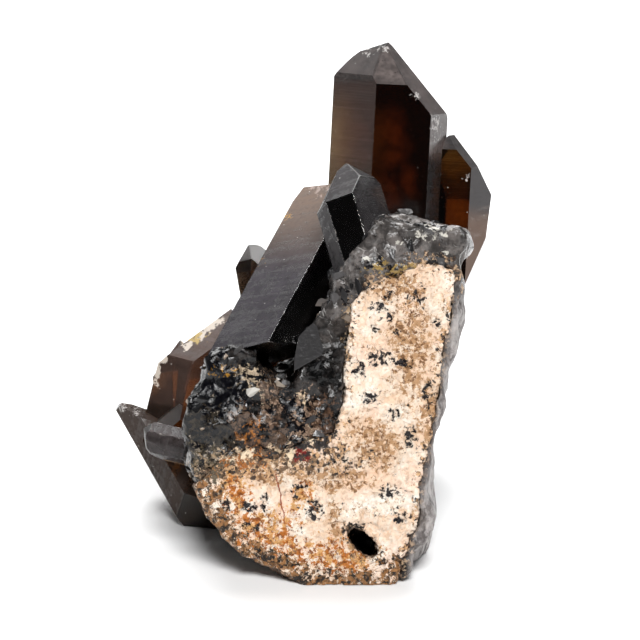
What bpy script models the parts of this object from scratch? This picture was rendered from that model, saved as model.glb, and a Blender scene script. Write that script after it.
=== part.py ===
"""Morion quartz cluster: smoky quartz crystals grown from a lump of quartz faced with feldspar.

Lengths here are millimetres on the specimen's own plate: x runs right along the pale feldspar
face, y runs away from it into the specimen and z runs up it.  An empty leans that plate back
on the table, and every piece is parented to it.
"""
import math
from collections import namedtuple

import bmesh
import bpy
from mathutils import Euler, Matrix, Vector

MM = 0.001
WELD = 1e-6               # points nearer than this are one point

# Driving dimensions of the whole specimen
LEAN_BACK = 20.0          # degrees that the plate leans back when the specimen rests
GAP = 0.3                 # clearance between pieces that touch
CAP_SLOPE = 38.2          # degrees between a quartz cap face and the crystal's long axis
QUARTZ_IOR = 1.54         # how strongly quartz bends light
FELDSPAR_START = -8.0     # the feldspar's outline is cut from well in front of the lump
FELDSPAR_DEPTH = 5.0      # to this depth in it
SLAB_START = 0.5          # where the front part of the lump begins
SLAB_END = 18.0           # and where it ends
REAR_START = 14.0         # where the rear of the lump begins
REAR_END = 51.5           # and where it ends
VOXEL = 0.9               # grain of the rough lump before its facets are cut
QUARTZ_FACETS = 6400      # triangles on the whole lump as broken quartz
FELDSPAR_FACETS = 5200    # triangles on the whole lump as feldspar
BLANK_REACH = 2.2         # a crystal's uncut blank, as a multiple of its widest side

# Reliefs of the lump: pattern, width, height and how much of the height lies inside the outline
BULGES = ("CLOUDS", 11.0, 2.4, 0.6)
SCALLOPS = ("VORONOI", 6.5, 3.6, 0.62)    # shell-like hollows that quartz breaks into
GRAINS = ("STUCCI", 2.6, 1.1, 0.6)        # grain of the feldspar

# Direction straight down to the table, seen on the plate
FLOOR_NORMAL = Vector((0.0, math.sin(math.radians(LEAN_BACK)), -math.cos(math.radians(LEAN_BACK))))

# A crystal is described about its tip.  lean tilts it to the right and back tilts its tip away
# (degrees), roll turns it about its long axis.  sides are the distances of the six prism faces
# from the tip's axis, starting with the face that looks forwards and going round to the right.
# caps are the distances of the six end faces beyond the tip, and chips are broken flats given
# as a direction on the plate and a distance from the tip.
Crystal = namedtuple("Crystal", "tip lean back roll sides caps length chips")

MAIN = Crystal((11.9, 33.0, 93.8), 3, -6, 11, (6.4, 9.5, 11.7, 6.5, 9.2, 5.7),
               (0.8, 0.1, 1.3, 1.0, 3.4, 1.1), 54,
               (((-0.32, -0.23, 0.92), 0.1), ((-0.62, -0.20, 0.75), 1.8)))
SHOULDER = Crystal((24.1, 41.0, 78.5), 3, -6, 11, (3.6, 4.1, 13.0, 11.0, 5.0, 6.0),
                   (1.1, -0.5, 3.0, 1.0, 0.0, 3.0), 40,
                   (((0.80, -0.06, 0.60), -0.2), ((0.90, -0.06, 0.43), 1.2),
                    ((0.99, -0.04, -0.13), 8.1), ((0.93, -0.10, -0.34), 11.1)))
FRONT = Crystal((3.4, 17.0, 71.5), -16.5, 20, -10, (5.5, 4.2, 5.7, 5.0, 5.3, 5.5),
                (-0.4, 0.8, 1.3, 1.0, 0.0, 0.0), 24,
                (((0.0, -1.0, 0.0), 11.2),))
DIAGONAL = Crystal((2.5, 33.0, 65.5), 28, 36.5, 10, (7.0, 12.0, 6.0, 8.0, 7.3, 3.3),
                   (6.0, 7.0, 6.0, 6.0, 7.0, 6.6), 44,
                   (((-0.84, 0.20, 0.50), 6.7), ((0.30, 0.43, 0.85), 2.3),
                    ((0.757, 0.652, 0.029), 1.8), ((0.45, -0.55, -0.70), 33.5),
                    ((0.075, -0.287, -0.955), 30.5)))
NARROW = Crystal((-11.5, 41.0, 58.3), -10, 4, 30, (3.8, 4.0, 4.0, 4.0, 4.3, 3.7),
                 (0.4, 0.5, 0.5, 0.5, 1.2, 1.3), 26,
                 (((0.12, -0.20, 0.97), 0.0), ((-0.80, -0.25, 0.55), 1.9)))
LEFT_LOW = Crystal((-24.6, 33.0, 41.0), -4, 0, 22, (5.0, 6.0, 6.0, 6.0, 5.0, 5.2),
                   (0.0, 0.0, 1.0, 1.0, 0.4, 0.3), 22, ())
LEFT_HIGH = Crystal((-15.6, 32.0, 46.5), 14, 0, 25, (5.0, 5.0, 6.0, 8.0, 10.0, 8.5),
                    (0.8, 0.0, 1.0, 1.0, 0.4, 0.4), 26, ())
SIDEWAYS = Crystal((-35.75, 28.5, 29.3), -71, 0, 20, (5.0, 1.0, 3.0, 6.0, 18.0, 13.0),
                   (1.2, 0.5, 1.0, 1.5, 0.3, 0.2), 32, (((-0.85, -0.20, 0.50), 0.0),))
LEFT_TOOTH = Crystal((-24.3, 25.0, 30.4), 14, -4, 35, (2.5, 3.0, 3.0, 2.5, 5.0, 4.2),
                     (0.3, 0.5, 0.5, 0.5, 0.1, 0.0), 8, ())
STUB = Crystal((-29.3, 17.6, 24.4), -77, 4, -12, (2.6, 2.9, 2.6, 3.0, 2.8, 2.8),
               (2.4, 2.4, 1.8, 0.6, 0.6, 1.8), 13, (((-0.98, -0.15, -0.10), 1.1),))
BACK_HIGH = Crystal((-7.0, 60.0, 38.0), -18, 46, 5, (5.0, 4.5, 5.5, 5.0, 4.5, 5.5),
                    (0.6, 0.0, 0.4, 0.8, 0.2, 0.5), 24, ())
BACK_RIGHT = Crystal((13.5, 62.0, 32.0), 20, 60, 25, (4.0, 4.2, 4.6, 4.0, 3.6, 4.4),
                     (0.3, 0.0, 0.6, 0.2, 0.5, 0.1), 22, ())
BACK_SMALL = Crystal((-21.5, 55.5, 27.5), -52, 36, 15, (2.8, 3.2, 3.0, 2.6, 3.2, 3.0),
                     (0.2, 0.0, 0.3, 0.5, 0.1, 0.0), 18, ())

# The crystals of each piece; those of one piece have grown through each other
CRYSTAL_PIECES = {
    "main_crystals": (MAIN, SHOULDER),
    "front_crystal": (FRONT,),
    "diagonal_crystal": (DIAGONAL,),
    "narrow_crystal": (NARROW,),
    "left_crystals": (SIDEWAYS, LEFT_LOW, LEFT_HIGH, LEFT_TOOTH),
    "stub_crystal": (STUB,),
    "back_high_crystal": (BACK_HIGH,),
    "back_right_crystal": (BACK_RIGHT,),
    "back_small_crystal": (BACK_SMALL,),
}

# Colour and roughness of each piece
FELDSPAR_LOOK = (0.78, 0.60, 0.44, 0.85)
QUARTZ_LOOK = (0.09, 0.08, 0.085, 0.30)
CRYSTAL_LOOKS = {
    "main_crystals": (0.040, 0.022, 0.014, 0.08),
    "front_crystal": (0.012, 0.010, 0.010, 0.10),
    "diagonal_crystal": (0.030, 0.026, 0.028, 0.15),
    "narrow_crystal": (0.050, 0.043, 0.040, 0.12),
    "left_crystals": (0.050, 0.030, 0.020, 0.12),
    "stub_crystal": (0.040, 0.036, 0.038, 0.15),
    "back_high_crystal": (0.030, 0.022, 0.018, 0.10),
    "back_right_crystal": (0.030, 0.022, 0.018, 0.10),
    "back_small_crystal": (0.030, 0.022, 0.018, 0.10),
}

# Outline of the lump as it shows from the front, in x and z, from the right shoulder clockwise
LUMP_OUTLINE = (
    (25.4, 52.0), (24.6, 46.0), (23.2, 38.0), (21.2, 31.5), (19.8, 24.5), (19.0, 13.5),
    (18.2, 7.0), (16.3, 3.0), (12.0, 0.3), (8.0, -1.5), (3.5, -1.5), (-0.5, -0.5),
    (-4.5, 1.7), (-8.5, 3.4), (-12.4, 4.9), (-14.5, 7.2), (-17.2, 9.7), (-19.8, 12.6),
    (-21.8, 17.5), (-23.4, 22.0), (-23.6, 26.0), (-22.9, 29.4), (-21.8, 33.0), (-20.4, 36.5),
    (-18.3, 39.5), (-13.0, 41.0), (-9.4, 40.6), (-8.6, 36.0), (-7.0, 33.6), (-5.0, 35.8),
    (-4.2, 39.0), (-3.4, 42.8), (-0.8, 44.6), (1.8, 48.0), (2.2, 52.4), (3.6, 55.0),
    (5.6, 57.2), (8.4, 60.4), (10.0, 63.0),
    (12.5, 62.6), (17.5, 62.0), (22.8, 61.6), (25.0, 60.0), (25.4, 56.8), (24.0, 53.0))

# Outline of the rear of the lump, which holds the roots of the large crystals
REAR_OUTLINE = (
    (23.0, 49.5), (22.8, 44.0), (21.8, 38.0), (20.2, 31.0), (18.8, 24.0), (18.0, 14.0),
    (17.5, 3.0), (-12.0, 3.0), (-18.0, 11.0), (-21.0, 17.0), (-22.0, 23.0), (-21.0, 30.0),
    (-17.0, 34.5), (-10.0, 36.0), (-5.0, 38.0), (-2.5, 45.0), (3.0, 49.5), (13.0, 51.5))

# Outline of the feldspar on the front of the lump, in x and z, from its top right clockwise
FELDSPAR_OUTLINE = (
    (22.6, 52.3), (22.0, 49.0), (21.6, 45.2), (20.0, 38.2), (19.8, 33.5), (19.0, 29.3),
    (18.0, 23.9), (17.0, 19.8), (16.2, 16.6), (16.4, 12.0), (15.4, 8.6), (13.6, 4.4),
    (11.0, -6.0), (-6.0, -6.0), (-22.0, 2.0), (-26.0, 14.0), (-20.0, 17.6), (-16.4, 21.2),
    (-11.0, 23.4), (-6.6, 22.4), (-2.0, 24.6), (2.4, 25.6), (4.4, 31.2), (4.2, 36.4),
    (5.0, 41.2), (5.8, 47.8), (8.6, 50.2), (11.2, 52.2), (13.2, 51.2), (14.8, 53.6),
    (17.6, 54.2), (21.6, 53.4))

# Hollows broken into the front: centre, size and turn in the plane of the face (degrees)
CAVITY = ((7.2, 3.0, 7.4), (7.2, 13.0, 4.0), 42.0)
CREVICE = ((-11.4, 4.0, 31.0), (1.3, 7.0, 7.4), 10.0)
SEAM_NOTCH = ((23.6, 3.0, 50.2), (1.6, 9.0, 4.6), 8.0)


def clear_scene():
    """Remove whatever the scene starts with."""
    for old in list(bpy.data.objects):
        bpy.data.objects.remove(old, do_unlink=True)


def make_collection(name):
    """Make a collection under the scene."""
    collection = bpy.data.collections.new(name)
    bpy.context.scene.collection.children.link(collection)
    return collection


def make_material(name, look):
    """Make a plain material; a look is linear red, green and blue, and a roughness."""
    *colour, roughness = look
    material = bpy.data.materials.new(name)
    material.use_nodes = True
    shader = material.node_tree.nodes["Principled BSDF"]
    shader.inputs["Base Color"].default_value = (*colour, 1.0)
    shader.inputs["Roughness"].default_value = roughness
    shader.inputs["Metallic"].default_value = 0.0
    shader.inputs["IOR"].default_value = QUARTZ_IOR
    material.diffuse_color = (*colour, 1.0)
    return material


def add_object(name, mesh, collection, plate, material=None):
    """Wrap a mesh in an object on the plate."""
    piece = bpy.data.objects.new(name, mesh)
    collection.objects.link(piece)
    piece.parent = plate
    if material is not None:
        mesh.materials.append(material)
    return piece


def mesh_from_bmesh(name, solid):
    """Turn a bmesh in millimetres into a mesh in metres."""
    bmesh.ops.scale(solid, vec=(MM, MM, MM), verts=solid.verts)
    bmesh.ops.recalc_face_normals(solid, faces=solid.faces)
    mesh = bpy.data.meshes.new(name)
    solid.to_mesh(mesh)
    solid.free()
    return mesh


def cut_flat(solid, point, normal):
    """Cut a closed bmesh with a plane, drop what lies beyond it and close the cut."""
    everything = solid.verts[:] + solid.edges[:] + solid.faces[:]
    cut = bmesh.ops.bisect_plane(solid, geom=everything, dist=WELD, plane_co=point,
                                 plane_no=normal, clear_outer=True)
    rim = [part for part in cut["geom_cut"] if isinstance(part, bmesh.types.BMEdge)]
    if rim:
        bmesh.ops.edgeloop_fill(solid, edges=rim)


def crystal_turn(crystal):
    """Rotation of a crystal on the plate: roll, then back, then lean."""
    angles = (math.radians(-crystal.back), math.radians(crystal.lean), math.radians(crystal.roll))
    return Euler(angles, "ZXY")


def crystal_mesh(name, crystal, swell=0.0):
    """A six-sided prism with six cap faces about its tip, swollen outwards by a clearance."""
    solid = bmesh.new()
    reach = BLANK_REACH * max(crystal.sides)
    depth = crystal.length + 2 * reach
    bmesh.ops.create_cone(solid, cap_ends=True, segments=6, radius1=reach, radius2=reach,
                          depth=depth, matrix=Matrix.Translation((0, 0, reach - depth / 2)))
    slope = math.radians(CAP_SLOPE)
    for number in range(6):
        around = math.radians(60 * number)
        side = Vector((math.sin(around), -math.cos(around), 0.0))
        cap = side * math.cos(slope) + Vector((0.0, 0.0, math.sin(slope)))
        cut_flat(solid, side * (crystal.sides[number] + swell), side)
        cut_flat(solid, cap * (crystal.caps[number] + swell), cap)
    to_crystal = crystal_turn(crystal).to_matrix().inverted()
    floor = (tuple(FLOOR_NORMAL), -FLOOR_NORMAL.dot(Vector(crystal.tip)))
    for direction, distance in (*crystal.chips, floor):
        flat = to_crystal @ Vector(direction).normalized()
        cut_flat(solid, flat * (distance + swell), flat)
    root = Vector((0.0, 0.0, -1.0))
    cut_flat(solid, root * (crystal.length + swell), root)
    return mesh_from_bmesh(name, solid)


def place_crystal(piece, crystal):
    """Put a crystal's object at its tip, turned as it grew."""
    piece.location = Vector(crystal.tip) * MM
    piece.rotation_mode = "ZXY"
    piece.rotation_euler = crystal_turn(crystal)


def add_crystal(name, crystal, collection, plate, material=None, swell=0.0):
    """Add one crystal."""
    piece = add_object(name, crystal_mesh(name, crystal, swell), collection, plate, material)
    place_crystal(piece, crystal)
    return piece


def add_cutter(name, crystal, swell, cutters, plate):
    """Add a crystal shape that only cuts or joins other pieces."""
    cutter = add_crystal(name, crystal, cutters, plate, swell=swell)
    hide_cutter(cutter)
    return cutter


def hide_cutter(cutter):
    """Show a helper only as a wire frame."""
    cutter.hide_render = True
    cutter.display_type = "WIRE"


def combine(piece, other, operation):
    """Join, cut or keep a piece by another with an exact Boolean."""
    boolean = piece.modifiers.new(f"{operation.lower()} {other.name}", "BOOLEAN")
    boolean.operation = operation
    boolean.solver = "EXACT"
    boolean.object = other


def add_crystal_group(name, crystals, collection, cutters, plate, material):
    """Crystals grown through each other, joined in one solid."""
    piece = add_crystal(name, crystals[0], collection, plate, material)
    for number, crystal in enumerate(crystals[1:], 2):
        other = add_cutter(f"{name}_{number}", crystal, 0.0, cutters, plate)
        combine(piece, other, "UNION")
    return piece


def outline_solid(name, outline, front, back, collection, plate):
    """A flat outline in x and z, thickened along y between two depths."""
    curve = bpy.data.curves.new(name, "CURVE")
    curve.dimensions = "2D"
    curve.fill_mode = "BOTH"
    curve.extrude = (back - front) / 2 * MM
    spline = curve.splines.new("POLY")
    spline.points.add(len(outline) - 1)
    for point, (x, z) in zip(spline.points, outline):
        point.co = (x * MM, z * MM, 0.0, 1.0)
    spline.use_cyclic_u = True
    drawn = bpy.data.objects.new(name, curve)
    collection.objects.link(drawn)
    bpy.context.view_layer.update()
    flat = bpy.data.meshes.new_from_object(drawn.evaluated_get(bpy.context.evaluated_depsgraph_get()))
    bpy.data.objects.remove(drawn, do_unlink=True)
    solid = bmesh.new()
    solid.from_mesh(flat)
    bmesh.ops.remove_doubles(solid, verts=solid.verts, dist=WELD)
    stand_up = Matrix.Translation((0, (front + back) / 2 * MM, 0)) @ Matrix.Rotation(math.pi / 2, 4, "X")
    bmesh.ops.transform(solid, matrix=stand_up, verts=solid.verts)
    bmesh.ops.recalc_face_normals(solid, faces=solid.faces)
    solid.to_mesh(flat)
    solid.free()
    return add_object(name, flat, collection, plate)


def add_hollow(name, place, cutters, plate):
    """A lumpy ball that breaks a hollow into the rock."""
    centre, size, turn = place
    solid = bmesh.new()
    shape = (Matrix.Translation(centre) @ Matrix.Rotation(math.radians(turn), 4, "Y")
             @ Matrix.Diagonal((*[length / 2 for length in size], 1.0)))
    bmesh.ops.create_icosphere(solid, subdivisions=2, radius=1.0, matrix=shape)
    hollow = add_object(name, mesh_from_bmesh(name, solid), cutters, plate)
    hide_cutter(hollow)
    return hollow


def even_skin(piece):
    """Rebuild a surface as one even skin, which also joins bodies that overlap."""
    remesh = piece.modifiers.new("even skin", "REMESH")
    remesh.mode = "VOXEL"
    remesh.voxel_size = VOXEL * MM


def roughen(piece, relief):
    """Push a surface in and out by a random pattern of a given width and height."""
    pattern, width, height, inside = relief
    texture = bpy.data.textures.new(pattern.lower(), pattern)
    texture.noise_scale = width * MM
    displace = piece.modifiers.new(texture.name, "DISPLACE")
    displace.texture = texture
    displace.texture_coords = "LOCAL"
    displace.strength = height * MM
    displace.mid_level = inside


def bake(piece):
    """Replace an object's mesh with its evaluated one and keep only the largest body."""
    bpy.context.view_layer.update()
    evaluated = piece.evaluated_get(bpy.context.evaluated_depsgraph_get())
    mesh = bpy.data.meshes.new_from_object(evaluated)
    piece.modifiers.clear()
    solid = bmesh.new()
    solid.from_mesh(mesh)
    bmesh.ops.triangulate(solid, faces=solid.faces)
    keep_largest_body(solid)
    solid.to_mesh(mesh)
    solid.free()
    piece.data = mesh


def keep_largest_body(solid):
    """Drop every loose crumb that a cut leaves behind."""
    unseen = set(solid.verts)
    bodies = []
    while unseen:
        front = [next(iter(unseen))]
        unseen.discard(front[0])
        body = []
        while front:
            vert = front.pop()
            body.append(vert)
            for edge in vert.link_edges:
                other = edge.other_vert(vert)
                if other in unseen:
                    unseen.discard(other)
                    front.append(other)
        bodies.append(body)
    bodies.sort(key=len)
    crumbs = [vert for body in bodies[:-1] for vert in body]
    bmesh.ops.delete(solid, geom=crumbs, context="VERTS")


def rough_lump(name, reliefs, facets, cutters, plate):
    """The whole broken lump, as it would be if it were all one mineral."""
    lump = outline_solid(name, LUMP_OUTLINE, SLAB_START, SLAB_END, cutters, plate)
    rear = outline_solid("lump_rear", REAR_OUTLINE, REAR_START, REAR_END, cutters, plate)
    joined = bmesh.new()
    joined.from_mesh(lump.data)
    joined.from_mesh(rear.data)
    joined.to_mesh(lump.data)
    joined.free()
    bpy.data.objects.remove(rear, do_unlink=True)
    even_skin(lump)
    for relief in reliefs:
        roughen(lump, relief)
    even_skin(lump)
    bake(lump)
    decimate = lump.modifiers.new("facets", "DECIMATE")
    decimate.ratio = facets / len(lump.data.polygons)
    bake(lump)
    rest_flat(lump)
    hide_cutter(lump)
    return lump


def rest_flat(lump):
    """Cut the underside flat where the lump stands on the table."""
    solid = bmesh.new()
    solid.from_mesh(lump.data)
    cut_flat(solid, Vector((0.0, 0.0, 0.0)), FLOOR_NORMAL)
    bmesh.ops.triangulate(solid, faces=solid.faces)
    solid.to_mesh(lump.data)
    solid.free()


def add_feldspar(collection, cutters, plate, material):
    """The pale feldspar that faces the lump, with its hollows."""
    lump = rough_lump("feldspar_lump", (BULGES, GRAINS), FELDSPAR_FACETS, cutters, plate)
    feldspar = add_object("feldspar_matrix", lump.data.copy(), collection, plate, material)
    face = outline_solid("feldspar_face", FELDSPAR_OUTLINE, FELDSPAR_START, FELDSPAR_DEPTH,
                          cutters, plate)
    hide_cutter(face)
    combine(feldspar, face, "INTERSECT")
    for name, place in (("cavity", CAVITY), ("seam_notch", SEAM_NOTCH)):
        combine(feldspar, add_hollow(name, place, cutters, plate), "DIFFERENCE")
    bake(feldspar)
    return feldspar


def add_quartz_base(collection, cutters, plate, material):
    """The quartz lump behind the feldspar, with a socket for every crystal."""
    lump = rough_lump("quartz_lump", (BULGES, SCALLOPS), QUARTZ_FACETS, cutters, plate)
    base = add_object("quartz_base", lump.data.copy(), collection, plate, material)
    room = outline_solid("feldspar_room", FELDSPAR_OUTLINE, FELDSPAR_START, FELDSPAR_DEPTH + GAP,
                          cutters, plate)
    swell_outline(room)
    hide_cutter(room)
    combine(base, room, "DIFFERENCE")
    for name, place in (("crevice", CREVICE), ("cavity_floor", CAVITY)):
        combine(base, add_hollow(name, place, cutters, plate), "DIFFERENCE")
    for name, crystals in CRYSTAL_PIECES.items():
        for number, crystal in enumerate(crystals, 1):
            socket = add_cutter(f"socket_{name}_{number}", crystal, GAP, cutters, plate)
            combine(base, socket, "DIFFERENCE")
    bake(base)
    return base


def swell_outline(room):
    """Push the side walls of an outline solid outwards by the clearance."""
    displace = room.modifiers.new("clearance", "DISPLACE")
    displace.strength = GAP * MM
    displace.mid_level = 0.0


def centre_on_floor(pieces, plate):
    """Stand the specimen on the floor with its origin at the middle of its footprint."""
    bpy.context.view_layer.update()
    depsgraph = bpy.context.evaluated_depsgraph_get()
    corners = []
    for piece in pieces.objects:
        if piece.type == "MESH":
            shape = piece.evaluated_get(depsgraph)
            corners += [shape.matrix_world @ vert.co for vert in shape.data.vertices]
    low = [min(corner[axis] for corner in corners) for axis in range(3)]
    high = [max(corner[axis] for corner in corners) for axis in range(3)]
    plate.location = (-(low[0] + high[0]) / 2, -(low[1] + high[1]) / 2, -low[2])


def build():
    """Build the whole specimen."""
    clear_scene()
    pieces = make_collection("morion_quartz_cluster")
    cutters = make_collection("cutters")
    plate = bpy.data.objects.new("plate", None)
    plate.rotation_euler = (math.radians(-LEAN_BACK), 0.0, 0.0)
    pieces.objects.link(plate)
    add_feldspar(pieces, cutters, plate, make_material("cream_feldspar", FELDSPAR_LOOK))
    add_quartz_base(pieces, cutters, plate, make_material("massive_quartz", QUARTZ_LOOK))
    for name, crystals in CRYSTAL_PIECES.items():
        material = make_material(f"morion_{name}", CRYSTAL_LOOKS[name])
        add_crystal_group(name, crystals, pieces, cutters, plate, material)
    centre_on_floor(pieces, plate)


build()
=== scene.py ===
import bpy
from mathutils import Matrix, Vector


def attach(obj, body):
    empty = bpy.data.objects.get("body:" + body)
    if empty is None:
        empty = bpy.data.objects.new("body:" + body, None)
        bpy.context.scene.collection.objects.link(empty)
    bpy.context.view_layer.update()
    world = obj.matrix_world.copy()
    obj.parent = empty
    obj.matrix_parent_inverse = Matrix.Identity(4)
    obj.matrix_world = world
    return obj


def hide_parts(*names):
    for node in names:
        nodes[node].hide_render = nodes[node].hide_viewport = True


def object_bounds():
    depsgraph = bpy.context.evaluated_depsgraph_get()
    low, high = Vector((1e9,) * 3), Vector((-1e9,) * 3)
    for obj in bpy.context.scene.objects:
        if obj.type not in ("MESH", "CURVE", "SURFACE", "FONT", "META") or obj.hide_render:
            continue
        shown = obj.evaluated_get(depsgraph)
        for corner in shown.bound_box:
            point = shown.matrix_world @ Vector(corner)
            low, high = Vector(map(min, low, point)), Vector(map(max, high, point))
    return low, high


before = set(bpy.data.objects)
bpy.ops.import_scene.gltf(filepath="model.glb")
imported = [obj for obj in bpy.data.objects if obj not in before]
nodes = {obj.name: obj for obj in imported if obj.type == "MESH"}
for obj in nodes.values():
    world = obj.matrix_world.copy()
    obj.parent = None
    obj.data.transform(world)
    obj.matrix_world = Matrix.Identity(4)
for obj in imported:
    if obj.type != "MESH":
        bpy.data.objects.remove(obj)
cad_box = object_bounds()
print("CAD nodes:", ", ".join(sorted(nodes)))
print("CAD box in mm:", [[round(value * 1000, 2) for value in corner] for corner in cad_box])

# %% [markdown]
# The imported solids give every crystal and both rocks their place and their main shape.
# This lesson dresses them: worn edges, chips, growth lines, broken grain, stains and smoky glass.
# Everything is measured on the feldspar's own plate, which leans back by twenty degrees.

# %% Shared measures
import math
import random

import bmesh
import bpy
from mathutils import Matrix, Vector
from mathutils.bvhtree import BVHTree

MM = 0.001
LEAN_BACK = math.radians(20.0)
PLATE_ORIGIN = Vector((2.3183, -37.6132, 0.0)) * MM
PLATE = Matrix.Translation(PLATE_ORIGIN) @ Matrix.Rotation(-LEAN_BACK, 4, "X")
PLATE_TURN = PLATE.to_3x3()
PLATE_BACK = PLATE.inverted()
QUARTZ_IOR = 1.544
CAP_SLOPE = math.radians(38.2)
CAMERA_DISTANCE = 600.0
CAMERA_HEIGHT = 44.9
FOCAL_PIXELS = 3571.0
IMAGE_PIXELS = 640
SENSOR_WIDTH = 36.0
FACE_DEPTH = -8.0    # the depth that marks are placed at unless they say otherwise
print("plate leans back", round(math.degrees(LEAN_BACK), 1), "degrees")


def on_plate(x, y, z):
    """A point given in millimetres on the plate, as a place in the scene."""
    return PLATE @ (Vector((x, y, z)) * MM)


def seen_at(column, row, depth=FACE_DEPTH):
    """The plate point, in millimetres, that the photo shows at a pixel when it lies at this depth."""
    scale = (CAMERA_DISTANCE + depth) / FOCAL_PIXELS
    half = IMAGE_PIXELS / 2
    return Vector(((column - half) * scale, depth, CAMERA_HEIGHT - (row - half) * scale))


# %% [markdown]
# The photo shows the feldspar face square on, with little perspective. So the camera looks straight at the
# plate from 600 mm with a long lens. A pixel of the photo and a millimetre on the plate can then be worked
# out from each other, which places every mark below.

# %% Camera
camera_data = bpy.data.cameras.new("camera")
camera_data.sensor_width = SENSOR_WIDTH
camera_data.lens = SENSOR_WIDTH * FOCAL_PIXELS / IMAGE_PIXELS
camera_data.clip_start = 0.01
camera_data.clip_end = 20.0
camera = bpy.data.objects.new("camera", camera_data)
bpy.context.scene.collection.objects.link(camera)
look_turn = Matrix((PLATE_TURN.col[0], PLATE_TURN.col[2], -PLATE_TURN.col[1])).transposed()
camera.matrix_world = Matrix.Translation(on_plate(0, -CAMERA_DISTANCE, CAMERA_HEIGHT)) @ look_turn.to_4x4()
bpy.context.scene.camera = camera
print("camera at", [round(value, 4) for value in camera.location], "lens", round(camera_data.lens, 1))

# %% [markdown]
# The cluster lies on a plain white ground. A large plane is enough, a tenth of a millimetre below the
# solids so that the two never share a face.

# %% Table
TABLE_SIZE = 4.0
TABLE_DROP = 0.1
TABLE_WHITE = 0.96
TABLE_ROUGHNESS = 0.9


def deselect():
    """Leaves edit mode and selects nothing."""
    if bpy.context.object and bpy.context.object.mode != "OBJECT":
        bpy.ops.object.mode_set(mode="OBJECT")
    bpy.ops.object.select_all(action="DESELECT")


def pick(piece):
    """Makes one piece the only selected and the active one."""
    deselect()
    piece.select_set(True)
    bpy.context.view_layer.objects.active = piece


deselect()
bpy.ops.mesh.primitive_plane_add(size=TABLE_SIZE, location=(0, 0, -TABLE_DROP * MM))
table = bpy.context.object
table.name = "table"
bpy.ops.object.transform_apply(location=True, rotation=True, scale=True)
table_look = bpy.data.materials.new("white_table")
table_look.use_nodes = True
table_shader = table_look.node_tree.nodes["Principled BSDF"]
table_shader.inputs["Base Color"].default_value = (TABLE_WHITE, TABLE_WHITE, TABLE_WHITE, 1)
table_shader.inputs["Roughness"].default_value = TABLE_ROUGHNESS
table.data.materials.append(table_look)
print("table", [round(side, 2) for side in table.dimensions], "metres")

# %% [markdown]
# The photo has a white ground with a soft shadow at the front, and black, glossy prism faces.
# A world of even light would grey those faces, so the room is dim and softboxes do the work: the main one
# stands above and behind, a second one only whitens the table far behind, and a small one high in front
# lights the cream feldspar. Two weak ones at the sides give the edges a glint.

# %% Softboxes
def add_softbox(name, place, aim, size, watts):
    data = bpy.data.lights.new(name, "AREA")
    data.shape = "RECTANGLE"
    data.size = size[0]
    data.size_y = size[1]
    data.energy = watts
    lamp = bpy.data.objects.new(name, data)
    bpy.context.scene.collection.objects.link(lamp)
    lamp.location = place
    lamp.rotation_euler = (Vector(aim) - Vector(place)).to_track_quat("-Z", "Y").to_euler()


SPECIMEN = (0.0, 0.0, 0.035)
FAR_TABLE = (0.0, 1.2, 0.0)
ROOM_LIGHT = 0.035
LIGHT_BOUNCES = 14
# For each softbox: its name, its place, what it faces, its width and height, all in metres, and its watts.
SOFTBOXES = (("overhead", (0.0, 0.62, 0.85), SPECIMEN, (0.9, 0.55), 13.0),
             ("backdrop", (0.0, 1.20, 0.80), FAR_TABLE, (2.4, 0.8), 15.0),
             ("left", (-0.80, 0.15, 0.25), SPECIMEN, (0.5, 0.4), 0.25),
             ("right", (0.75, 0.10, 0.40), SPECIMEN, (0.4, 0.4), 0.2),
             ("front", (0.10, -0.60, 0.78), SPECIMEN, (0.4, 0.3), 9.3))
for softbox in SOFTBOXES:
    add_softbox(*softbox)
world = bpy.data.worlds.new("studio")
world.use_nodes = True
world.node_tree.nodes["Background"].inputs["Color"].default_value = (1, 1, 1, 1)
world.node_tree.nodes["Background"].inputs["Strength"].default_value = ROOM_LIGHT
scene = bpy.context.scene
scene.world = world
scene.view_settings.view_transform = "Standard"
scene.cycles.max_bounces = LIGHT_BOUNCES
scene.cycles.transmission_bounces = LIGHT_BOUNCES
print(len(SOFTBOXES), "softboxes, room light", ROOM_LIGHT)

# %% [markdown]
# A look is built from masks: where rust lies, where a face is dull, where a crack runs. They could be
# laid out as nodes by hand, but written as plain arithmetic on sockets each reads like a formula.

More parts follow.
